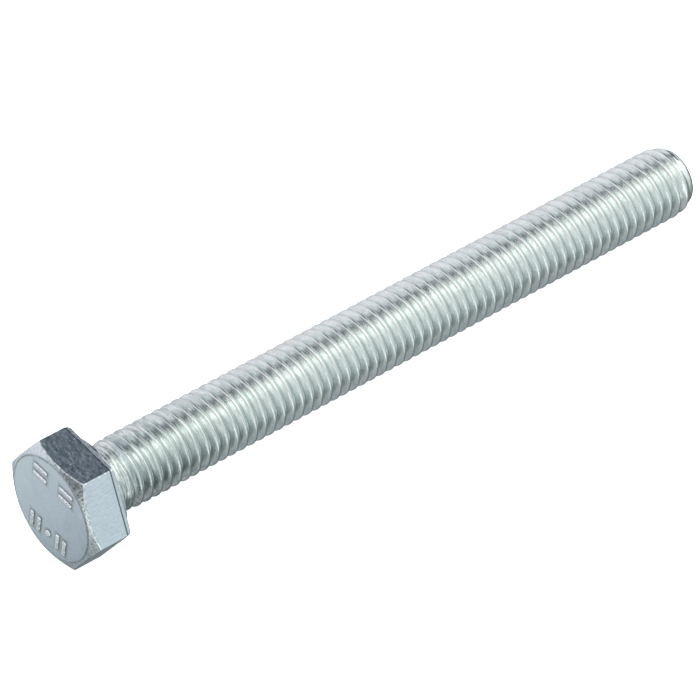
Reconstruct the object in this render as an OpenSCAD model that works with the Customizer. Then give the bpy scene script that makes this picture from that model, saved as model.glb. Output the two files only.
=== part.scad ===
// Hexagon head bolt, threaded to the head, zinc plated steel.
// The bolt lies along +X: the head is at x < 0 and the point is at +X.
// The origin is the centre of the bearing face under the head, and +Z is square to a flat.

/* [Thread] */
// Diameter over the thread crests
thread_d = 7.9; // [6:0.05:10]
// Axial distance from one crest to the next
pitch = 1.25; // [1:0.05:2]
// Length from the bearing face to the end of the point
length = 80; // [30:1:100]
// Angle between the two flanks of the thread
flank_angle = 60; // [50:1:64]
// Width of the flat on the crest
crest_w = 0.16; // [0.1:0.01:0.2]
// Turn of the thread start about the axis, in degrees
thread_turn = 200; // [0:5:355]

/* [Neck and run-out] */
// Depth of the plain neck below the thread crests
neck_step = 0.275; // [0.05:0.025:0.6]
// Length of the plain neck
neck_len = 1.2; // [0.6:0.1:3]
// Radius of the fillet between the bearing face and the neck
fillet_r = 0.4; // [0.2:0.05:0.6]
// Length over which the thread grows from the neck to its full form
runout_len = 3; // [1.5:0.1:6]

/* [Point] */
// Depth of the rim of the flat end below the thread root
point_step = 0.03; // [0:0.01:0.8]
// Angle of the point chamfer to the axis
point_angle = 36; // [25:1:60]
// Length of the end piece that holds the chamfer and the last crests
point_len = 2.5; // [2:0.1:5]

/* [Head] */
// Width across the flats of the hexagon
across_flats = 12.8; // [11.5:0.1:16]
// Height of the head, from the bearing face to the top
head_h = 5.2; // [4:0.1:10]
// How far the round top of the head lies inside the flats
top_step = 0.4; // [0.05:0.05:1]
// Angle of the corner chamfer to the top of the head, midway from the top circle to a corner
chamfer_angle = 29; // [15:1:40]
// Height of the trimmed band at the bearing end of the hexagon
band_h = 0.6; // [0.3:0.05:1.2]
// Depth of the trimmed band below the flats
band_step = 0.05; // [0.02:0.01:0.2]
// How far the corners are cut back at the bearing end of the hexagon
seat_step = 0.4; // [0.1:0.05:0.5]
// Height of the round bearing collar under the hexagon
collar_h = 0.5; // [0.2:0.05:0.8]
// How far the round bearing collar lies inside the flats
collar_step = 0.5; // [0.1:0.1:0.6]

/* [Head marks] */
// Height of the raised marks
mark_h = 0.2; // [0.05:0.05:0.5]
// Width of one raised bar
mark_w = 0.55; // [0.3:0.05:0.8]
// Length of one raised bar
mark_len = 2.1; // [1:0.1:2.5]
// Distance from the rim of the top circle in to the middle of each row
mark_margin = 2.45; // [1.8:0.05:3]
// Distance of the two groups in a row from the middle of the row
mark_side = 2.05; // [1.2:0.05:2.2]
// Diameter of the dot in the lower row
mark_dot = 0.8; // [0.4:0.05:1]

/* [Hidden] */

// Head and neck
top_r = across_flats / 2 - top_step;
corner_r = across_flats / sqrt(3);
// The chamfer is part of a large sphere about a point on the axis
dome_r = (top_r + corner_r) / 2 / sin(chamfer_angle);
dome_x = sqrt(dome_r * dome_r - top_r * top_r) - head_h;
band_x = -(collar_h + band_h);
// A second sphere cuts the corners at the bearing end, at 45 degrees to the axis there
seat_r = corner_r - 2 * band_step / sqrt(3) - seat_step;
collar_r = across_flats / 2 - collar_step;
neck_r = thread_d / 2 - neck_step;
neck_root_r = neck_r + fillet_r;
mark_row = top_r - mark_margin;
// Thread form: the basic triangle is cut to 17/24 of its height
tri_h = pitch / (2 * tan(flank_angle / 2));
crest_r = thread_d / 2;
root_r = crest_r - 17 / 24 * tri_h;
flank_w = (crest_r - root_r) * tan(flank_angle / 2);
root_w = pitch - crest_w - 2 * flank_w;
point_r = root_r - point_step;
// Ends of the three threaded pieces
full_x0 = neck_len + runout_len;
full_x1 = length - point_len;
// Break points of one pitch, and the radius at each: root, root, crest, crest
form_x = [0, root_w, root_w + flank_w, root_w + flank_w + crest_w];
form_r = [root_r, root_r, crest_r, crest_r];
form_table = [for (k = [0:4]) [k < 4 ? form_x[k] : pitch, form_r[k % 4]]];
// Columns round the thread, fewer on a very long fine thread
full_turns = (full_x1 - full_x0) / pitch;
columns = max(12, min(22, floor(12200 / (8 * full_turns))));
// Least distance of a break point from an end plane
end_gap = pitch / 200;

// Growth of the thread along the run-out, from 0 at the neck to 1
function growth(x) =
    let (t = min(1, max(0, (x - neck_len) / runout_len))) t * t * (3 - 2 * t);
// Radius of the thread surface where the full form would be r
function grown(r, x) = neck_r + growth(x) * (r - neck_r);
function wrap(u) = u - pitch * floor(u / pitch);
// Axial place of break point n on column j of a right-hand thread
function break_x(n, j) =
    form_x[n - 4 * floor(n / 4)] + pitch * (floor(n / 4) + j / columns);
function break_r(n, j) = grown(form_r[n - 4 * floor(n / 4)], break_x(n, j));
// Radius of the thread surface on column j at x
function surface_r(x, j) = grown(lookup(wrap(x - pitch * j / columns), form_table), x);
function around(x, r, j) =
    let (a = 360 * j / columns + thread_turn) [x, r * cos(a), r * sin(a)];
// First and last break points that lie between the end planes on column j
function first_n(x0, j) =
    let (m = 4 * floor(x0 / pitch - j / columns) - 4)
    min([for (n = [m : m + 12]) if (break_x(n, j) > x0 + end_gap) n]);
function last_n(x1, j) =
    let (m = 4 * floor(x1 / pitch - j / columns) + 8)
    max([for (n = [m - 12 : m]) if (break_x(n, j) < x1 - end_gap) n]);
function column(x0, x1, j) = concat(
    [around(x0, surface_r(x0, j), j)],
    [for (n = [first_n(x0, j) : last_n(x1, j)]) around(break_x(n, j), break_r(n, j), j)],
    [around(x1, surface_r(x1, j), j)]);

// Closed length of thread between two planes square to the axis
module thread_length(x0, x1) {
    first = [for (j = [0 : columns - 1]) first_n(x0, j)];
    last = [for (j = [0 : columns - 1]) last_n(x1, j)];
    count = [for (j = [0 : columns - 1]) last[j] - first[j] + 3];
    base = [for (j = 0, s = 0; j < columns; s = s + count[j], j = j + 1) s];
    faces = [
        for (j = [0 : columns - 1])
            let (k = (j + 1) % columns, turn = j + 1 < columns ? 0 : 4,
                 fa = first[j], la = last[j], fb = first[k] - turn, lb = last[k] - turn,
                 a0 = base[j], b0 = base[k], a1 = a0 + count[j] - 1, b1 = b0 + count[k] - 1,
                 a = a0 + 1 - fa, b = b0 + 1 - fb)
            each concat(
                // the start plane
                [[a0, b0 + 1, b0]],
                fb < fa ? [for (n = [fb : fa - 1]) [a0, b + n + 1, b + n]] : [],
                [[a0, a + fa, b + fa]],
                // the strips between matching break points
                [for (n = [fa : lb - 1]) each [[a + n, b + n + 1, b + n],
                                               [a + n, a + n + 1, b + n + 1]]],
                // the end plane
                [[a + lb, b1, b + lb]],
                lb < la ? [for (n = [lb : la - 1]) [a + n, a + n + 1, b1]] : [],
                [[a + la, a1, b1]]),
        [for (j = [0 : columns - 1]) base[j]],
        [for (j = [columns - 1 : -1 : 0]) base[j] + count[j] - 1]
    ];
    points = [for (j = [0 : columns - 1]) each column(x0, x1, j)];
    polyhedron(points = points, faces = faces, convexity = 10);
}

// Turns a shape drawn along +Z so that it runs along +X
module along_x(x) {
    translate([x, 0, 0]) rotate([0, 90, 0]) children();
}

// Hexagonal bar along X with corners at +Y and -Y
module hex_bar(x0, x1, flats) {
    along_x(x0) rotate([0, 0, 30]) cylinder(h = x1 - x0, r = flats / sqrt(3), $fn = 6);
}

// The hexagon above the trimmed band, with its corners chamfered round the top circle
module hex_head() {
    color("lightsteelblue")
    intersection() {
        hex_bar(-head_h, band_x, across_flats);
        along_x(dome_x) sphere(r = dome_r, $fn = 200);
    }
}

// The band that the trimming die leaves at the bearing end of the hexagon
module head_band() {
    color("slategray")
    intersection() {
        hex_bar(band_x, -collar_h, across_flats - 2 * band_step);
        along_x(-collar_h - seat_r) sphere(r = seat_r * sqrt(2), $fn = 200);
    }
}

// The round collar whose face bears on the work, a ring about the root of the neck
module bearing_collar() {
    color("lightgray")
    along_x(-collar_h)
    difference() {
        cylinder(h = collar_h, r = collar_r, $fn = 120);
        translate([0, 0, -collar_h]) cylinder(h = 3 * collar_h, r = neck_root_r, $fn = 96);
    }
}

// The plain neck, with its root inside the collar and the fillet under the head
module neck() {
    color("gainsboro")
    along_x(0)
    rotate_extrude($fn = 96)
    difference() {
        translate([0, -collar_h]) square([neck_root_r, collar_h + neck_len]);
        translate([neck_root_r, fillet_r]) circle(r = fillet_r, $fn = 48);
        translate([neck_r, fillet_r]) square([2 * fillet_r, neck_len]);
    }
}

// The first turns, where the thread grows out of the neck
module thread_runout() {
    color("darkseagreen")
    thread_length(neck_len, full_x0);
}

// The full-form thread
module thread_full() {
    color("silver")
    thread_length(full_x0, full_x1);
}

// The last turns, cut by the point chamfer
module thread_point() {
    flare = point_len * tan(point_angle);
    color("darkgray")
    intersection() {
        thread_length(full_x1, length);
        along_x(full_x1)
            cylinder(h = point_len, r1 = point_r + flare, r2 = point_r, $fn = 96);
    }
}

// A raised bar on the top of the head, centred at y, z
module mark_bar(y, z, wide, high) {
    translate([-head_h - mark_h, y - wide / 2, z - high / 2]) cube([mark_h, wide, high]);
}

// Upper row: two pairs of level bars
module marks_upper() {
    color("whitesmoke")
    for (side = [-1, 1], row = [-1, 1])
        mark_bar(side * mark_side, mark_row + row * mark_w, mark_len, mark_w);
}

// Lower row: two pairs of upright bars with a dot between them
module marks_lower() {
    color("whitesmoke") {
        for (side = [-1, 1], row = [-1, 1])
            mark_bar(side * mark_side + row * mark_w, -mark_row, mark_w, mark_len);
        translate([0, 0, -mark_row]) along_x(-head_h - mark_h)
            cylinder(h = mark_h, d = mark_dot, $fn = 48);
    }
}

hex_head();
head_band();
bearing_collar();
neck();
thread_runout();
thread_full();
thread_point();
marks_upper();
marks_lower();
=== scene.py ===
"""A zinc plated hexagon head bolt, threaded to the head.

The bolt lies along +X with its bearing face at the origin. The head is at x < 0,
the point is at +X, and +Z is square to a flat of the hexagon.
Shapes are worked out in millimetres and stored in metres.
"""

from math import atan2, cos, hypot, pi, radians, sin, sqrt, tan

import bmesh
import bpy
from mathutils import Matrix, Vector


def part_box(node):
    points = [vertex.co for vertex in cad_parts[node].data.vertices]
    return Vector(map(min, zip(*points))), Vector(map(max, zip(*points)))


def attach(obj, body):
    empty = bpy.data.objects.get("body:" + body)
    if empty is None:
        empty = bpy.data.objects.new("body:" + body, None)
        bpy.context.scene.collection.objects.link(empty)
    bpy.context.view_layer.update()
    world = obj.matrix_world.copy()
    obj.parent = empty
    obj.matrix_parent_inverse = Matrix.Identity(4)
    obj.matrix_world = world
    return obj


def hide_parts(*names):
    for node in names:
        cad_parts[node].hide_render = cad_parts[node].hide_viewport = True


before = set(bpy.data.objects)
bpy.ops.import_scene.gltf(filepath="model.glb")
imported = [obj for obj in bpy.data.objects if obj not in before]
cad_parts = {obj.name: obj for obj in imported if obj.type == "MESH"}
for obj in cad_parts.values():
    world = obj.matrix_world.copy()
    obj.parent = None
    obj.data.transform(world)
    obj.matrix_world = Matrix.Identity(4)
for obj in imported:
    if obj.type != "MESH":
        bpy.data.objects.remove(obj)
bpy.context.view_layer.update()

bl_info = {
    "name": "Hexagon head bolt",
    "version": (1, 0, 0),
    "blender": (4, 5, 0),
    "location": "View3D > Sidebar > Bolt",
    "description": "Builds a zinc plated hexagon head bolt and its stage",
    "category": "Object",
}

BODY = "root"
MM = 1000.0
# Depth of the fine dents in the plating, and how far a raised mark reaches into the head
DENT = 0.034
MARK_SUNK = 0.03
# Points closer than this are one point
SAME_POINT = 0.0005


def cad(node):
    """Lowest and highest corner of a CAD node, in millimetres."""
    low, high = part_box(node)
    return low * MM, high * MM


HEAD = cad("hex_head")
BAND = cad("head_band")
COLLAR = cad("bearing_collar")
NECK = cad("neck")
RUNOUT = cad("thread_runout")
FULL = cad("thread_full")
POINT = cad("thread_point")
MARKS = cad("marks_upper")


# Sizes and colours ---------------------------------------------------------------------


def length(name, description, millimetres, low=0.0):
    """A length property, given in millimetres."""
    return bpy.props.FloatProperty(
        name=name,
        description=description,
        default=millimetres / MM,
        min=low / MM,
        precision=6,
        subtype="DISTANCE",
        unit="LENGTH",
    )


def angle(name, description, value):
    """An angle property, given in degrees."""
    return bpy.props.FloatProperty(
        name=name,
        description=description,
        default=radians(value),
        subtype="ANGLE",
        unit="ROTATION",
    )


def colour(name, description, value):
    """A colour property."""
    return bpy.props.FloatVectorProperty(
        name=name,
        description=description,
        default=value,
        size=3,
        min=0,
        max=1,
        subtype="COLOR",
    )


def share(name, description, value, high=1.0):
    """A plain number property."""
    return bpy.props.FloatProperty(
        name=name, description=description, default=value, min=0, max=high, unit="NONE"
    )


class BoltThreadSettings(bpy.types.PropertyGroup):
    """Sizes of the thread, the neck and the point"""

    pitch: length("Pitch", "Axial distance from crest to crest", 1.25, 0.5)
    crest_flat: length("Crest flat", "Width of the flat on the crest", 0.24)
    crest_round: length("Crest rounding", "Radius of the crest's two edges", 0.16)
    root_round: length("Root rounding", "Radius of the root's two corners", 0.1)
    start_turn: angle("Start", "Turn of the thread about the axis", 200)
    neck_step: length("Neck step", "Depth of the neck below the crests", 0.275)
    fillet: length("Fillet", "Radius of the fillet under the head", 0.4)
    point_step: length("Point step", "Depth of the end's rim below the thread root", 0.03)
    point_angle: angle("Point angle", "Angle of the point chamfer to the axis", 36)
    point_blend: length("Point blend", "Softness where the chamfer meets the thread", 0.5)
    neck_ring: length("Neck rings", "Height of the turned rings on the neck", 0.035)
    columns: bpy.props.IntProperty(
        name="Columns",
        description="Steps round the thread in one turn",
        default=48,
        min=24,
        max=90,
    )


class BoltHeadSettings(bpy.types.PropertyGroup):
    """Sizes of the head and its marks"""

    top_step: length("Top step", "How far the round top lies inside the flats", 0.4)
    chamfer: angle("Chamfer", "Angle of the corner chamfer to the top, at its middle", 29)
    corner_round: length("Corner rounding", "Rounding of the six long corners", 0.1)
    edge_round: length("Edge rounding", "Rounding between the chamfer and the flats", 0.13)
    rim_round: length("Rim rounding", "Rounding of the rims of the top and the collar", 0.07)
    groove: length("Groove", "Depth of the groove above the trimmed band", 0.1)
    band_lean: length("Band lean", "How much the band narrows towards the bearing end", 0.07)
    seat_step: length("Seat step", "How far the corners are cut back at the bearing end", 0.4)
    seat_round: length("Seat rounding", "Height of the rolled corners at the bearing end", 0.5)
    seat_edge: length("Seat edge", "Rounding of the bearing end between the corners", 0.12)
    mark_wide: length("Mark width", "Width of one raised bar", 0.55)
    mark_long: length("Mark length", "Length of one raised bar", 2.1)
    mark_margin: length("Mark margin", "From the rim in to the middle of each row", 2.45)
    mark_side: length("Mark side", "From the middle of a row to its two groups", 2.05)
    mark_dot: length("Mark dot", "Diameter of the dot in the lower row", 0.8)


class BoltFinishSettings(bpy.types.PropertyGroup):
    """Colours of the zinc plating"""

    zinc: colour("Zinc", "Plating on the head", (0.70, 0.77, 0.83))
    # light and dull zinc carry a painted light gradient across the top, lighter on the higher
    # side, mixed with cloudy plating; dull zinc also darkens the grain
    zinc_light: colour("Light zinc", "Plating high on the top", (0.80, 0.88, 0.91))
    zinc_dull: colour("Dull zinc", "Plating low on the top", (0.52, 0.58, 0.63))
    neck: colour("Neck zinc", "Plating on the turned neck", (0.40, 0.46, 0.45))
    # burnished zinc: worn edges and chamfer specks, and also the painted highlight on the tops
    # of the marks
    zinc_worn_and_highlight: colour("Burnished zinc", "Plating rubbed bright on edges", (0.90, 0.93, 0.97))
    thread: colour("Thread zinc", "Plating on the flanks", (0.85, 0.89, 0.88))
    crest: colour("Crest zinc", "Plating on the crests", (0.70, 0.74, 0.73))
    # grime and painted shade: dirt in the chamfer's pits, and painted shade in the groove, along
    # the top's rim, round and at the foot of the marks, and on the low side near the head
    grime_and_shade: colour("Grime", "Dirt in the groove and round the marks", (0.30, 0.33, 0.32))
    blotch: colour("Blotches", "Dark blotches on the flats", (0.26, 0.33, 0.37))
    # root zinc: painted shade in the roots, and darker grain specks over the thread
    root_shade_and_grain: colour("Root zinc", "Darker plating in the roots", (0.40, 0.48, 0.47))
    satin: share("Satin", "Roughness of the head", 0.27)
    bright: share("Bright", "Roughness of the thread", 0.2)


class BoltStageSettings(bpy.types.PropertyGroup):
    """Camera, floor and light"""

    azimuth: angle("Azimuth", "Camera's turn round the bolt; 0 looks along +Y", -45.877)
    elevation: angle("Elevation", "Camera's height above the horizon", 45.619)
    roll: angle("Roll", "Camera's turn about its own axis", 8.245)
    distance: length("Distance", "From the camera to the aimed point", 692.56)
    lens: bpy.props.FloatProperty(
        name="Lens",
        description="Focal length in millimetres",
        default=341.92,
        min=10,
        unit="CAMERA",
    )
    aim: bpy.props.FloatVectorProperty(
        name="Aim",
        description="Point that the camera looks at",
        default=(0.035043, 0.00056, -0.000993),
        size=3,
        subtype="XYZ",
        unit="LENGTH",
    )
    floor: colour("Floor", "Colour of the floor", (0.9, 0.9, 0.9))
    sky: share("Studio light", "Strength of the light all round", 1.0, 20)
    overhead: share("Overhead", "Power of the overhead light on the floor, in watts", 45, 1000)


# Shapes --------------------------------------------------------------------------------

# Turns a shape drawn round +Z, with the top of the head upwards, onto the bolt's axis
HEAD_UP = Matrix(((0, 0, -1), (1, 0, 0), (0, -1, 0))).to_4x4()


def finish_piece(mesh, name, nodes, materials, crease=8.0):
    """Makes a piece of a bmesh in millimetres, which stands for some CAD nodes."""
    bmesh.ops.transform(mesh, matrix=Matrix.Scale(1 / MM, 4), verts=mesh.verts[:])
    bmesh.ops.recalc_face_normals(mesh, faces=mesh.faces[:])
    data = bpy.data.meshes.new(name)
    mesh.to_mesh(data)
    mesh.free()
    data.shade_smooth()
    data.set_sharp_from_angle(angle=radians(crease))
    for material in materials:
        data.materials.append(material)
    piece = bpy.data.objects.new(name, data)
    bpy.context.scene.collection.objects.link(piece)
    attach(piece, BODY)
    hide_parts(*nodes)
    return piece


def grow(mesh, ring, place):
    """Extrudes a ring of edges and puts each new point where place(turn, point) says."""
    made = bmesh.ops.extrude_edge_only(mesh, edges=ring)["geom"]
    for vert in (item for item in made if isinstance(item, bmesh.types.BMVert)):
        vert.co = place(atan2(vert.co.y, vert.co.x), vert.co)
    return [item for item in made if isinstance(item, bmesh.types.BMEdge) and item.is_boundary]


def at_radius(radius, height):
    """A place for grow(): the same turn at a radius and a height, numbers or functions."""

    def place(turn, point):
        reach = radius(turn) if callable(radius) else radius
        level = height(turn) if callable(height) else height
        return Vector((reach * cos(turn), reach * sin(turn), level))

    return place


def across(radius, x):
    """A place for grow() on a circle round the bolt's axis."""

    def place(turn, point):
        share_r = radius / hypot(point.y, point.z)
        return Vector((x, point.y * share_r, point.z * share_r))

    return place


def round_edges(mesh, edges, size, segments):
    """Rounds some edges."""
    bmesh.ops.bevel(
        mesh,
        geom=edges,
        offset=size,
        offset_type="OFFSET",
        affect="EDGES",
        segments=segments,
        profile=0.5,
        material=-1,
        clamp_overlap=True,
    )


def hexagon_radius(turn, flats):
    """Distance from the axis to a hexagon with a corner at turn 0."""
    return flats / 2 / cos((turn % (pi / 3)) - pi / 6)


class BOLT_OT_head(bpy.types.Operator):
    """Makes the hexagon with its chamfered corners, trimmed band and bearing collar"""

    bl_idname = "bolt.head"
    bl_label = "Head"

    def execute(self, context):
        sizes = context.scene.bolt_head
        steps = 192
        # where the rings of the rolled edge lie, as shares of its height
        roll_rings = (1, 0.8, 0.6, 0.42, 0.27, 0.15, 0.07, 0.02, 0)
        flats = HEAD[1].z - HEAD[0].z
        band = BAND[1].z - BAND[0].z
        top = -HEAD[0].x
        top_r = flats / 2 - sizes.top_step * MM
        corner_r = flats / sqrt(3)
        dome_r = (top_r + corner_r) / 2 / sin(sizes.chamfer)
        dome_z = top - sqrt(dome_r**2 - top_r**2)
        collar_r = COLLAR[1].z
        root_r = NECK[1].z

        def flat_r(turn):
            return hexagon_radius(turn, flats)

        def chamfer_z(turn):
            return dome_z + sqrt(dome_r**2 - flat_r(turn) ** 2)

        mesh = bmesh.new()
        bmesh.ops.create_circle(mesh, cap_ends=True, segments=steps, radius=top_r)
        bmesh.ops.translate(mesh, vec=(0, 0, top), verts=mesh.verts[:])
        rim = mesh.edges[:]
        ring = rim
        # the chamfer in four steps, so that it bends like the sphere it is part of
        for part in (0.25, 0.5, 0.75):
            def part_r(turn, part=part):
                return top_r + part * (flat_r(turn) - top_r)

            def part_z(turn, part=part):
                return dome_z + sqrt(dome_r**2 - part_r(turn, part) ** 2)

            ring = grow(mesh, ring, at_radius(part_r, part_z))
        arcs = grow(mesh, ring, at_radius(flat_r, chamfer_z))
        line = grow(mesh, arcs, at_radius(flat_r, -HEAD[1].x))
        # the trimming die leaves a fine groove, and then the band under it
        groove = sizes.groove * MM

        def groove_r(turn):
            return hexagon_radius(turn, band) - groove

        groove_z = -HEAD[1].x - 0.8 * groove
        ring = grow(mesh, line, at_radius(groove_r, groove_z))
        # the band's corners and edge are rolled over towards the bearing end
        seat_z = -BAND[1].x
        roll = sizes.seat_round * MM
        soft = sizes.seat_edge * MM
        for part in roll_rings:
            rise = part * roll

            def band_r(turn, rise=rise):
                cut = 1 - sqrt(1 - (1 - rise / roll) ** 2)
                corner = band / sqrt(3) - sizes.seat_step * MM * cut
                edge = max(0, soft - rise)
                side = band - 2 * sizes.band_lean * MM * (1 - rise / roll)
                return min(hexagon_radius(turn, side) - soft + sqrt(soft**2 - edge**2), corner)

            ring = grow(mesh, ring, at_radius(band_r, seat_z + rise))
        seat = grow(mesh, ring, at_radius(collar_r, seat_z))
        lip = grow(mesh, seat, at_radius(collar_r, -COLLAR[1].x))
        hole = grow(mesh, lip, at_radius(root_r, -COLLAR[1].x))
        bmesh.ops.edgeloop_fill(mesh, edges=hole)
        round_edges(mesh, arcs, sizes.edge_round * MM, 4)
        round_edges(mesh, rim + lip, sizes.rim_round * MM, 3)
        # the long corners are the sharp edges that keep one turn, far out from the axis
        sharp, far_out, same_turn = radians(15), corner_r - 0.5, 0.001
        corners = [
            edge
            for edge in mesh.edges
            if edge.calc_face_angle(0) > sharp
            and all(hypot(v.co.x, v.co.y) > far_out for v in edge.verts)
            and abs(atan2(*edge.verts[0].co.yx) - atan2(*edge.verts[1].co.yx)) < same_turn
        ]
        round_edges(mesh, corners, sizes.corner_round * MM, 4)
        bmesh.ops.remove_doubles(mesh, verts=mesh.verts[:], dist=SAME_POINT)
        bmesh.ops.transform(mesh, matrix=HEAD_UP, verts=mesh.verts[:])
        finish_piece(
            mesh,
            "head",
            ["hex_head", "head_band", "bearing_collar"],
            [head_finish(context.scene.bolt_finish, sizes, flats, top_r)],
        )
        return {"FINISHED"}


class BOLT_OT_shank(bpy.types.Operator):
    """Makes the neck, the helical thread and the chamfered point as one turned surface"""

    bl_idname = "bolt.shank"
    bl_label = "Threaded shank"

    def execute(self, context):
        sizes = context.scene.bolt_thread
        pitch = sizes.pitch * MM
        crest_r = max(FULL[1].y, FULL[1].z, -FULL[0].y, -FULL[0].z)
        # the basic triangle of the thread is cut to 17/24 of its height
        depth = 17 / 24 * pitch / (2 * tan(radians(30)))
        root_r = crest_r - depth
        neck_r = crest_r - sizes.neck_step * MM
        point_r = root_r - sizes.point_step * MM
        fillet = sizes.fillet * MM
        end = POINT[1].x
        into_collar = 0.1
        start = -COLLAR[1].x - into_collar
        grow_from, grow_to = RUNOUT[0].x, RUNOUT[1].x
        blend = sizes.point_blend * MM
        neck_ring = sizes.neck_ring * MM
        ring_pitch, ring_from = 0.42, 0.2
        # the last turns: where their wear starts and is full, how strong and how deep it is
        worn_from, worn_full, worn_share, worn_depth = end - 2.6, end - 0.8, 0.6, 0.22

        mesh = bmesh.new()
        profile = self.profile(pitch, root_r, crest_r, sizes)
        verts = [
            mesh.verts.new((x, r * cos(sizes.start_turn), r * sin(sizes.start_turn)))
            for x, r in profile
        ]
        edges = [mesh.edges.new(pair) for pair in zip(verts, verts[1:])]
        bmesh.ops.spin(
            mesh,
            geom=verts + edges,
            cent=(0, 0, 0),
            axis=(1, 0, 0),
            dvec=(pitch / sizes.columns, 0, 0),
            angle=2 * pi,
            steps=sizes.columns,
            use_merge=False,
            use_duplicate=False,
        )
        turn = mesh.verts[:] + mesh.edges[:] + mesh.faces[:]
        for number in range(-2, int(end / pitch) + 2):
            if number:
                copy = bmesh.ops.duplicate(mesh, geom=turn)["geom"]
                bmesh.ops.translate(
                    mesh,
                    vec=(number * pitch, 0, 0),
                    verts=[item for item in copy if isinstance(item, bmesh.types.BMVert)],
                )
        bmesh.ops.remove_doubles(mesh, verts=mesh.verts[:], dist=SAME_POINT)
        for place, side in ((start, -1), (end, 1)):
            bmesh.ops.bisect_plane(
                mesh,
                geom=mesh.verts[:] + mesh.edges[:] + mesh.faces[:],
                dist=0.001,
                plane_co=(place, 0, 0),
                plane_no=(side, 0, 0),
                clear_outer=True,
            )
        for vert in mesh.verts:
            x, y, z = vert.co
            radius = hypot(y, z)
            full = min(1, max(0, (x - grow_from) / (grow_to - grow_from)))
            full = full * full * (3 - 2 * full)
            wanted = neck_r + full * (radius - neck_r)
            if x < fillet:
                into = fillet - max(0, x)
                wanted += fillet - sqrt(max(0, fillet**2 - into**2))
            else:
                fade = max(0, 1 - full * 1.4) * min(1, (x - fillet) / ring_from)
                wanted += neck_ring * fade * sin(2 * pi * (x - fillet) / ring_pitch)
            # the last turns are only half formed
            last = min(1, max(0, (x - worn_from) / (worn_full - worn_from)))
            last = worn_share * last * last * (3 - 2 * last)
            wanted += last * (crest_r - worn_depth - wanted)
            cone = point_r + (end - x) * tan(sizes.point_angle)
            near = max(0, blend - abs(wanted - cone)) / blend
            wanted = min(wanted, cone) - near**2 * blend / 4
            vert.co = (x, y * wanted / radius, z * wanted / radius)
        # the end face is slightly dished: shares of its radius, and how far each ring is sunk
        dish = ((0.96, 0.0), (0.9, 0.0), (0.7, 0.06), (0.4, 0.08), (0.1, 0.08))
        rims = [edge for edge in mesh.edges if edge.is_boundary]
        ring = [edge for edge in rims if edge.verts[0].co.x > end / 2]
        for share_r, sunk in dish:
            ring = grow(mesh, ring, across(share_r * point_r, end - sunk))
        bmesh.ops.edgeloop_fill(mesh, edges=[edge for edge in mesh.edges if edge.is_boundary])
        finish_piece(
            mesh,
            "threaded_shank",
            ["neck", "thread_runout", "thread_full", "thread_point"],
            [thread_finish(context.scene.bolt_finish, root_r, crest_r)],
            crease=35.0,
        )
        return {"FINISHED"}

    def profile(self, pitch, root_r, crest_r, sizes):
        """Points (x, radius) of one pitch, from the middle of one crest to the next."""
        lean = radians(60)
        crest = sizes.crest_flat * MM / 2
        run = (crest_r - root_r) / tan(lean)
        root = pitch / 2 - crest - run
        half = [(0, crest_r)]
        # over the crest's rounded edge, down the flank and round the root's corner
        for bend, x, r, side, turns in (
            (sizes.crest_round * MM, crest, crest_r, -1, (0, 1 / 3, 2 / 3, 1)),
            (sizes.root_round * MM, crest + run, root_r, 1, (1, 2 / 3, 1 / 3, 0)),
        ):
            cut = bend * tan(lean / 2)
            for turn in turns:
                swing = bend * sin(lean * turn)
                half.append((x + side * (cut - swing), r + side * bend * (1 - cos(lean * turn))))
        top, foot = half[4], half[5]
        # two more points keep the flank flat between its bends
        near = [tuple(a + (b - a) * part for a, b in zip(top, foot)) for part in (0.12, 0.88)]
        half = half[:5] + near + half[5:] + [(crest + run + root, root_r)]
        return half + [(pitch - x, r) for x, r in reversed(half[:-1])]


class BOLT_OT_marks(bpy.types.Operator):
    """Makes the two rows of plain raised marks on the top of the head"""

    bl_idname = "bolt.marks"
    bl_label = "Head marks"

    def execute(self, context):
        sizes = context.scene.bolt_head
        wide, long = sizes.mark_wide * MM, sizes.mark_long * MM
        row = HEAD[1].z - sizes.top_step * MM - sizes.mark_margin * MM
        side = sizes.mark_side * MM
        height = HEAD[0].x - MARKS[0].x
        finish = mark_finish(context.scene.bolt_finish)
        upper = bmesh.new()
        lower = bmesh.new()
        for way in (-1, 1):
            for step in (-wide, wide):
                self.bar(upper, way * side, row + step, long, wide, height)
                self.bar(lower, way * side + step, -row, wide, long, height)
        self.dot(lower, -row, sizes.mark_dot * MM / 2, height)
        finish_piece(upper, "upper_marks", ["marks_upper"], [finish], 40.0)
        finish_piece(lower, "lower_marks", ["marks_lower"], [finish], 40.0)
        return {"FINISHED"}

    def bar(self, mesh, y, z, wide, high, height):
        """One raised bar with drafted sides and rounded ends."""
        draft, soft = 0.05, 0.17
        made = bmesh.ops.create_cube(mesh, size=1)["verts"]
        bmesh.ops.scale(mesh, vec=(height + MARK_SUNK, wide, high), verts=made)
        for vert in made:
            if vert.co.x < 0:
                vert.co.y -= draft if vert.co.y > 0 else -draft
                vert.co.z -= draft if vert.co.z > 0 else -draft
        place = (HEAD[0].x - (height - MARK_SUNK) / 2, y, z)
        bmesh.ops.translate(mesh, vec=place, verts=made)
        outer = {
            edge
            for vert in made
            for edge in vert.link_edges
            if not all(v.co.x > HEAD[0].x for v in edge.verts)
        }
        round_edges(mesh, list(outer), soft, 5)

    def dot(self, mesh, z, radius, height):
        """One raised round dot."""
        draft, soft = 0.06, 0.1
        made = bmesh.ops.create_cone(
            mesh,
            cap_ends=True,
            segments=32,
            radius1=radius,
            radius2=radius - draft,
            depth=height + MARK_SUNK,
        )["verts"]
        place = (HEAD[0].x - (height - MARK_SUNK) / 2, 0, z)
        bmesh.ops.transform(mesh, matrix=HEAD_UP, verts=made)
        bmesh.ops.translate(mesh, vec=place, verts=made)
        rim = {
            edge
            for vert in made
            for edge in vert.link_edges
            if all(v.co.x < HEAD[0].x for v in edge.verts)
        }
        round_edges(mesh, list(rim), soft, 4)


# Finishes ------------------------------------------------------------------------------


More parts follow.
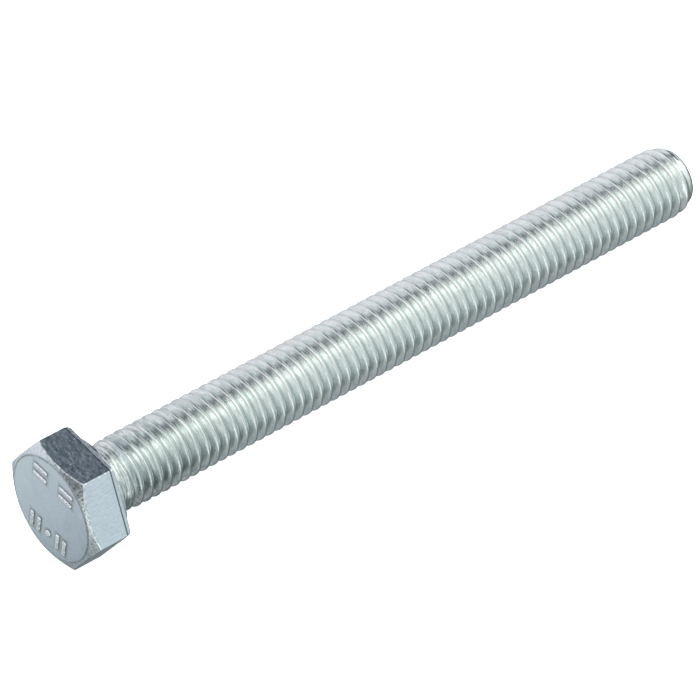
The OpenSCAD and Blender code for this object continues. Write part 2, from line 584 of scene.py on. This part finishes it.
class Wire:
    """A shader value that can be written in a sum."""

    def __init__(self, finish, socket):
        self.finish = finish
        self.socket = socket

    def calc(self, operation, left, right=0.0):
        """A node that does one sum."""
        return self.finish.add("ShaderNodeMath", {"operation": operation}, {0: left, 1: right})

    def __add__(self, other):
        return self.calc("ADD", self, other)

    def __radd__(self, other):
        return self.calc("ADD", other, self)

    def __sub__(self, other):
        return self.calc("SUBTRACT", self, other)

    def __rsub__(self, other):
        return self.calc("SUBTRACT", other, self)

    def __mul__(self, other):
        return self.calc("MULTIPLY", self, other)

    def __rmul__(self, other):
        return self.calc("MULTIPLY", other, self)

    def __truediv__(self, other):
        return self.calc("DIVIDE", self, other)

    def __pow__(self, other):
        return self.calc("POWER", self, other)

    def __abs__(self):
        return self.calc("ABSOLUTE", self)

    def larger(self, other):
        return self.calc("MAXIMUM", self, other)

    def smaller(self, other):
        return self.calc("MINIMUM", self, other)


class Finish:
    """A material and the nodes that are added to it."""

    def __init__(self, tree):
        self.tree = tree
        self.tree.nodes.clear()

    def add(self, kind, settings=None, values=None, out=0):
        """Adds a node: its settings first, then its sockets' values or links."""
        node = self.tree.nodes.new(kind)
        for key, value in (settings or {}).items():
            if key == "stops":
                ramp = node.color_ramp
                while len(ramp.elements) < len(value):
                    ramp.elements.new(0.5)
                for stop, (place, tone) in zip(ramp.elements, value):
                    stop.position = place
                    stop.color = (*tone, 1) if len(tone) == 3 else tone
            else:
                setattr(node, key, value)
        for key, value in (values or {}).items():
            if isinstance(value, Wire):
                self.tree.links.new(value.socket, node.inputs[key])
            elif value is not None:
                node.inputs[key].default_value = value
        return Wire(self, node.outputs[out]) if node.outputs else None

    def span(self, value, low, high, to_low=0.0, to_high=1.0):
        """A smooth step of a value from one range to another."""
        return self.add(
            "ShaderNodeMapRange",
            {"interpolation_type": "SMOOTHSTEP"},
            {0: value, 1: low, 2: high, 3: to_low, 4: to_high},
        )

    def mix(self, factor, first, second):
        """A colour between two colours."""
        first, second = (
            value if isinstance(value, Wire) else (*value, 1) for value in (first, second)
        )
        return self.add(
            "ShaderNodeMix", {"data_type": "RGBA"}, {0: factor, 6: first, 7: second}, out=2
        )

    def place(self):
        """Object coordinates in millimetres."""
        here = self.add("ShaderNodeTexCoord", out=3)
        return self.add(
            "ShaderNodeVectorMath", {"operation": "SCALE"}, {0: here, "Scale": MM}
        )

    def stretch(self, place, scale):
        """A place with its axes scaled, for patterns that run one way."""
        return self.add("ShaderNodeVectorMath", {"operation": "MULTIPLY"}, {0: place, 1: scale})

    def axes(self, place):
        """The three parts of a place."""
        parts = self.add("ShaderNodeSeparateXYZ", None, {0: place})
        sockets = parts.socket.node.outputs
        return [Wire(self, socket) for socket in sockets]

    def noise(self, place, scale, detail=3.0, rough=0.55):
        """Cloudy noise, about 0.5 on average."""
        return self.add(
            "ShaderNodeTexNoise",
            None,
            {"Vector": place, "Scale": scale, "Detail": detail, "Roughness": rough},
        )

    def metal(self, tone, rough, bump, depth):
        """Closes the material with a metal surface."""
        normal = self.add(
            "ShaderNodeBump", None, {"Strength": 1.0, "Distance": depth / MM, "Height": bump}
        )
        surface = self.add(
            "ShaderNodeBsdfPrincipled",
            None,
            {"Base Color": tone, "Metallic": 1.0, "Roughness": rough, "Normal": normal},
        )
        self.add("ShaderNodeOutputMaterial", None, {"Surface": surface})


def new_finish(name):
    """An empty node material and its Finish."""
    material = bpy.data.materials.new(name)
    material.use_nodes = True
    return material, Finish(material.node_tree)


def head_finish(tones, sizes, flats, top_r):
    """Satin zinc on the forged head, mottled, with burnished edges, dirt in the chamfer's pits,
    painted shade in the groove, along the top's rim and round the marks, and a painted light
    gradient across the top.
    """
    material, zinc = new_finish("head_zinc")
    place = zinc.place()
    x, y, z = zinc.axes(place)
    # distance out to each pair of flats; the two largest agree along a corner
    lean = sin(radians(60))
    one, two, three = abs(z), abs(z * 0.5 + y * lean), abs(z * 0.5 - y * lean)
    largest = one.larger(two).larger(three)
    middle = one.larger(two).smaller(one.smaller(two).larger(three))
    radius = (y * y + z * z) ** 0.5
    cloud = zinc.noise(place, 0.45, 4.0, 0.6)
    mottle = zinc.noise(place, 2.2, 5.0, 0.65)
    grain = zinc.noise(place, 6.0, 4.0, 0.7)
    speck = zinc.noise(place, 3.2, 2.0, 0.5)
    drag = zinc.noise(zinc.stretch(place, (0.5, 4.0, 4.0)), 1.6, 3.0, 0.6)
    brush = zinc.noise(zinc.stretch(place, (2.2, 0.6, 2.2)), 1.6, 4.0, 0.6)
    ragged = (mottle - 0.5) * 0.5
    on_top = zinc.span(x, HEAD[0].x + 0.1, HEAD[0].x + 0.02)
    on_flat = zinc.span(largest, flats / 2 - 0.1, flats / 2 - 0.04)
    on_chamfer = (1.0 - on_top) * (1.0 - on_flat) * zinc.span(x, -2.0, -3.0)
    # rubbed bright: the corners, and the arcs where the chamfer meets the flats
    corner = zinc.span(middle + ragged * 0.5, flats / 2 - 0.3, flats / 2 - 0.06)
    dome_r = (top_r + flats / sqrt(3)) / 2 / sin(sizes.chamfer)
    dome_x = sqrt(dome_r**2 - top_r**2) + HEAD[0].x
    to_dome = abs(((x - dome_x) * (x - dome_x) + radius * radius) ** 0.5 - dome_r)
    arc = zinc.span(to_dome + ragged * 0.7, 0.24, 0.02) * on_flat
    worn = zinc.span(speck, 0.38, 0.62)
    # the chamfer is roughest on the near side, and the upper flat has more dark blotches, less
    # roughness and more dents
    rubbed = zinc.span(y, 3.5, -0.5, 0.25, 1.0)
    on_upper = zinc.span(z, flats / 2 - 0.1, flats / 2 - 0.04)
    edge = (corner * 0.35).larger(arc * (0.25 + worn * 0.55))
    # painted shade along the rim of the top, in the groove and round the raised marks, and dirt
    # in the pits of the chamfer
    rim = zinc.span(abs(radius - top_r) + ragged * 0.35, 0.2, 0.03) * (0.5 + worn * 0.4)
    pits = zinc.span(speck * 0.6 + grain * 0.4, 0.53, 0.4) * on_chamfer * rubbed
    side = abs(abs(y) - sizes.mark_side * MM)
    wide, long = sizes.mark_wide * MM / 2, sizes.mark_long * MM / 2
    row = top_r - sizes.mark_margin * MM
    upper = (side - long).larger(abs(abs(z - row) - 2 * wide) - wide)
    lower = (abs(side - 2 * wide) - wide).larger(abs(z + row) - long)
    dot = (y * y + (z + row) * (z + row)) ** 0.5 - sizes.mark_dot * MM / 2
    shade = zinc.span(upper.smaller(lower).smaller(dot) + ragged * 0.4, 0.45, 0.0) * on_top
    line = zinc.span(abs(x - HEAD[1].x - 0.05) + ragged * 0.06, 0.15, 0.07)
    grime_and_shade = (shade * 0.6).larger(line * 0.85).larger(rim * (1.0 - on_flat)).larger(pits * 0.6)
    grime_and_shade = grime_and_shade.larger(arc * (1.0 - worn) * 0.6)
    # cloudy plating, and a painted light gradient that makes the top lighter on its higher side
    height = (y + z) * 0.7 * on_top + (cloud - 0.5) * 9.0 + (mottle - 0.5) * 3.0
    tone = zinc.mix(zinc.span(height, -7.0, 0.5), tuple(tones.zinc_dull), tuple(tones.zinc))
    tone = zinc.mix(zinc.span(height, -0.5, 7.0), tone, tuple(tones.zinc_light))
    tone = zinc.mix(zinc.span(grain, 0.54, 0.7) * 0.4, tone, tuple(tones.zinc_dull))
    tone = zinc.mix(edge, tone, tuple(tones.zinc_worn_and_highlight))
    tone = zinc.mix(on_chamfer * worn * 0.35, tone, tuple(tones.zinc_worn_and_highlight))
    blotch = zinc.span(brush * 0.55 + mottle * 0.25 + grain * 0.2, 0.43, 0.58)
    blotch = blotch * on_flat * (0.12 + on_upper * 0.6)
    tone = zinc.mix(blotch, tone, tuple(tones.blotch))
    tone = zinc.mix(grime_and_shade, tone, tuple(tones.grime_and_shade))
    rough = tones.satin + (mottle - 0.5) * 0.14 + (grain - 0.5) * 0.1 - edge * 0.06
    rough = rough - on_upper * 0.05
    bump = mottle * (0.5 + on_upper * 0.6) + grain * 0.16 + drag * on_flat * 0.7
    bump = bump + speck * on_chamfer * rubbed * 1.2
    zinc.metal(tone, rough, bump, DENT)
    return material


def thread_finish(tones, root_r, crest_r):
    """Bright zinc on the rolled thread, with painted shade in the roots and on the low side near
    the head, and darker on the neck.
    """
    material, zinc = new_finish("thread_zinc")
    place = zinc.place()
    x, y, z = zinc.axes(place)
    radius = (y * y + z * z) ** 0.5
    mottle = zinc.noise(place, 1.6, 5.0, 0.65)
    grain = zinc.noise(place, 7.0, 3.0, 0.65)
    patch = zinc.span(zinc.noise(place, 0.9, 4.0, 0.6), 0.42, 0.66)
    # fine lines round the shank, deepest near the head
    lines = zinc.noise(zinc.stretch(place, (5.0, 0.35, 0.35)), 1.0, 3.0, 0.6)
    near_head = zinc.span(x + (mottle - 0.5) * 3.0, 5.0, 1.5)
    crest = zinc.span(radius + (mottle - 0.5) * 0.12, crest_r - 0.14, crest_r - 0.02)
    root = zinc.span(radius + (mottle - 0.5) * 0.2, root_r + 0.26, root_r + 0.02)
    tone = zinc.mix(patch * 0.5, tuple(tones.thread), tuple(tones.crest))
    tone = zinc.mix(zinc.span(grain, 0.52, 0.68) * 0.3, tone, tuple(tones.root_shade_and_grain))
    # painted shade in the roots
    tone = zinc.mix(root * 0.5, tone, tuple(tones.root_shade_and_grain))
    tone = zinc.mix(crest, tone, tuple(tones.crest))
    tip = zinc.span(x + (mottle - 0.5) * 0.2, POINT[1].x - 0.4, POINT[1].x - 0.1)
    tone = zinc.mix(tip * 0.7, tone, tuple(tones.grime_and_shade))
    streak = zinc.span(lines, 0.44, 0.56) * zinc.span(x, 24.0, 4.0, 0.25, 1.0)
    tone = zinc.mix(streak * 0.6, tone, tuple(tones.neck))
    blot = zinc.span(mottle * 0.6 + lines * 0.4, 0.47, 0.58)
    tone = zinc.mix(near_head * (0.2 + blot * 0.8), tone, tuple(tones.neck))
    # painted shade, blotchy, on the low side close to the head
    low = zinc.span(z, 2.6, 0.4) * zinc.span(x, 20.0, 4.0)
    tone = zinc.mix(low * (0.25 + blot * 0.45), tone, tuple(tones.grime_and_shade))
    rough = tones.bright + (mottle - 0.5) * 0.14 + (grain - 0.5) * 0.1 + root * 0.08
    bump = mottle * 0.5 + grain * 0.4 + lines * (0.9 + near_head * 1.7)
    zinc.metal(tone, rough, bump, DENT)
    return material


def mark_finish(tones):
    """Raised marks, uneven, with a painted highlight on top and painted shade towards the foot.
    """
    dent = 0.14
    material, zinc = new_finish("mark_zinc")
    place = zinc.place()
    x, y, z = zinc.axes(place)
    mottle = zinc.noise(place, 2.2, 3.0, 0.6)
    # painted highlight on the top of each mark, fading to painted shade at its foot
    high = zinc.span(x + (mottle - 0.5) * 0.2, HEAD[0].x - 0.02, HEAD[0].x - 0.13)
    tone = zinc.mix(high, tuple(tones.grime_and_shade), tuple(tones.zinc_worn_and_highlight))
    rough = tones.satin - 0.07 + (mottle - 0.5) * 0.15
    zinc.metal(tone, rough, mottle, dent)
    return material


def floor_finish(tone):
    """Plain pale floor that glows a little, so that it shows no shadow."""
    material, paint = new_finish("floor_paint")
    surface = paint.add(
        "ShaderNodeBsdfPrincipled",
        None,
        {
            "Base Color": (*tone, 1),
            "Roughness": 0.9,
            "Specular IOR Level": 0.0,
            "Emission Color": (1, 1, 1, 1),
            "Emission Strength": 0.7,
        },
    )
    paint.add("ShaderNodeOutputMaterial", None, {"Surface": surface})
    return material


# Stage ---------------------------------------------------------------------------------


def direction(azimuth, elevation):
    """From the bolt towards a camera or light at these angles."""
    return Vector(
        (sin(azimuth) * cos(elevation), -cos(azimuth) * cos(elevation), sin(elevation))
    )


class BOLT_OT_stage(bpy.types.Operator):
    """Makes the floor, the soft light and the camera"""

    bl_idname = "bolt.stage"
    bl_label = "Stage"

    def execute(self, context):
        stage = context.scene.bolt_stage
        self.floor(stage)
        self.studio(stage)
        self.overhead(stage)
        self.camera(stage)
        return {"FINISHED"}

    def floor(self, stage):
        """The floor touches the band of the head and one of the last crests."""
        half, last_crest = 3.0, 0.8
        mesh = bmesh.new()
        bmesh.ops.create_grid(mesh, x_segments=8, y_segments=8, size=half)
        heel = Vector((BAND[0].x, 0, HEAD[0].z)) / MM
        toe = Vector((POINT[1].x - last_crest, 0, -FULL[1].y)) / MM
        tilt = atan2(toe.z - heel.z, toe.x - heel.x)
        bmesh.ops.rotate(
            mesh, cent=(0, 0, 0), matrix=Matrix.Rotation(-tilt, 3, "Y"), verts=mesh.verts[:]
        )
        bmesh.ops.translate(mesh, vec=heel, verts=mesh.verts[:])
        data = bpy.data.meshes.new("floor")
        mesh.to_mesh(data)
        mesh.free()
        data.materials.append(floor_finish(tuple(stage.floor)))
        floor = bpy.data.objects.new("floor", data)
        bpy.context.scene.collection.objects.link(floor)
        # the bolt mirrors the grey studio under the horizon instead of the bright floor
        floor.visible_glossy = False

    def studio(self, stage):
        """A soft studio all round: bright overhead, with a dark gap high on the far side."""
        world = bpy.data.worlds.new("studio")
        bpy.context.scene.world = world
        world.use_nodes = True
        sky = Finish(world.node_tree)
        way = sky.add("ShaderNodeTexCoord", out=0)
        x, y, z = sky.axes(way)
        # turn of a direction about the bolt's axis: 0 is upwards, +90 degrees the near horizon
        turn = (y * -1.0).calc("ARCTAN2", y * -1.0, z) * (180 / pi)
        point_side = self.room(
            sky,
            turn,
            (-180, (0.17, 0.19, 0.20)),
            (-152, (0.26, 0.28, 0.28)),
            (-138, (0.40, 0.43, 0.45)),
            (-97, (0.74, 0.74, 0.78)),
            (-66, (0.90, 0.93, 0.97)),
            (-48, (1.10, 1.14, 1.18)),
            (-8, (1.36, 1.40, 1.36)),
            (12, (2.0, 2.02, 1.94)),
            (34, (1.19, 1.22, 1.20)),
            (57, (0.98, 1.03, 1.03)),
            (86, (0.77, 0.84, 0.87)),
            (105, (0.50, 0.57, 0.58)),
            (132, (0.24, 0.29, 0.30)),
            (180, (0.17, 0.19, 0.20)),
        )
        head_side = self.room(
            sky,
            turn,
            (-180, (0.30, 0.34, 0.36)),
            (-164, (0.44, 0.49, 0.51)),
            (-146, (0.56, 0.61, 0.64)),
            (-97, (0.90, 0.89, 0.94)),
            (-52, (0.95, 0.97, 1.0)),
            (12, (1.06, 1.09, 1.06)),
            (57, (0.84, 0.88, 0.87)),
            (80, (0.70, 0.75, 0.74)),
            (97, (1.05, 1.10, 1.08)),
            (114, (1.60, 1.68, 1.62)),
            (134, (0.40, 0.45, 0.44)),
            (165, (0.48, 0.52, 0.52)),
            (180, (0.30, 0.34, 0.36)),
        )
        tone = sky.mix(sky.span(x, 0.12, -0.15), point_side, head_side)
        # a dark gap high on the far side, wider towards the point where the upper flat is
        reach = sky.span(x, 0.40, 0.47, 6.0, 28.0)
        middle = sky.span(x, 0.40, 0.47, 30.0, 34.0)
        gap = sky.span(abs(turn + middle) - reach, 9.0, 0.0)
        gap = gap * sky.span(x, -0.15, 0.1) * sky.span(x, 0.84, 0.66)
        dark = sky.mix(sky.span(x, 0.40, 0.47), (0.07, 0.10, 0.13), (0.01, 0.03, 0.06))
        tone = sky.mix(gap, tone, dark)
        # a dark board in front of the head, and a small bright card under it
        board = self.facing(sky, way, (-0.985, 0.17, 0.01))
        tone = sky.mix(sky.span(board, 0.90, 0.955), tone, (0.16, 0.18, 0.18))
        card = self.facing(sky, way, (-0.925, -0.132, -0.358))
        tone = sky.mix(sky.span(card, 0.965, 0.99), tone, (1.15, 1.15, 1.08))
        glow = sky.add("ShaderNodeBackground", None, {0: tone, 1: stage.sky})
        sky.add("ShaderNodeOutputWorld", None, {0: glow})

    def overhead(self, stage):
        """A square light straight above, which the bolt doesn't mirror."""
        side = height = 1.6
        light = bpy.data.lights.new("overhead", "AREA")
        light.shape = "RECTANGLE"
        light.size = light.size_y = side
        light.energy = stage.overhead
        lamp = bpy.data.objects.new("overhead", light)
        back = direction(0, radians(90))
        lamp.location = Vector((0.035, 0, 0)) + back * height
        lamp.rotation_mode = "QUATERNION"
        lamp.rotation_quaternion = (-back).to_track_quat("-Z", "Y")
        lamp.visible_glossy = False
        bpy.context.scene.collection.objects.link(lamp)

    def room(self, sky, turn, *walls):
        """Brightness of the studio round the bolt's axis: (turn in degrees, tone), ..."""
        stops = [((at + 180) / 360, tone) for at, tone in walls]
        return sky.add("ShaderNodeValToRGB", {"stops": stops}, {0: turn / 360.0 + 0.5})

    def facing(self, sky, way, centre):
        """How closely a direction of the studio agrees with a centre, up to 1."""
        return sky.add(
            "ShaderNodeVectorMath", {"operation": "DOT_PRODUCT"}, {0: way, 1: centre}, out=1
        )

    def camera(self, stage):
        """Looks at the bolt from the head's side."""
        data = bpy.data.cameras.new("camera")
        data.lens = stage.lens
        data.sensor_width = 36
        camera = bpy.data.objects.new("camera", data)
        back = direction(stage.azimuth, stage.elevation)
        camera.location = Vector(stage.aim) + back * stage.distance
        camera.rotation_mode = "QUATERNION"
        roll = Matrix.Rotation(stage.roll, 3, "Z").to_quaternion()
        camera.rotation_quaternion = (-back).to_track_quat("-Z", "Y") @ roll
        bpy.context.scene.collection.objects.link(camera)
        bpy.context.scene.camera = camera
        bpy.context.scene.view_settings.view_transform = "Standard"


class BOLT_PT_panel(bpy.types.Panel):
    """The bolt's sizes, colours and operators"""

    bl_idname = "BOLT_PT_panel"
    bl_label = "Hexagon head bolt"
    bl_space_type = "VIEW_3D"
    bl_region_type = "UI"
    bl_category = "Bolt"

    def draw(self, context):
        for operator in OPERATORS:
            self.layout.operator(operator.bl_idname)
        for group in GROUPS:
            box = self.layout.box()
            settings = getattr(context.scene, group)
            for name in settings.__annotations__:
                box.prop(settings, name)


GROUPS = {
    "bolt_thread": BoltThreadSettings,
    "bolt_head": BoltHeadSettings,
    "bolt_finish": BoltFinishSettings,
    "bolt_stage": BoltStageSettings,
}
OPERATORS = (BOLT_OT_head, BOLT_OT_shank, BOLT_OT_marks, BOLT_OT_stage)


def register():
    for part in (*GROUPS.values(), *OPERATORS, BOLT_PT_panel):
        bpy.utils.register_class(part)
    for name, group in GROUPS.items():
        setattr(bpy.types.Scene, name, bpy.props.PointerProperty(type=group))


def unregister():
    for name in GROUPS:
        delattr(bpy.types.Scene, name)
    for part in reversed((*GROUPS.values(), *OPERATORS, BOLT_PT_panel)):
        bpy.utils.unregister_class(part)


def main():
    register()
    bpy.ops.bolt.head()
    bpy.ops.bolt.shank()
    bpy.ops.bolt.marks()
    bpy.ops.bolt.stage()


if __name__ == "__main__":
    main()
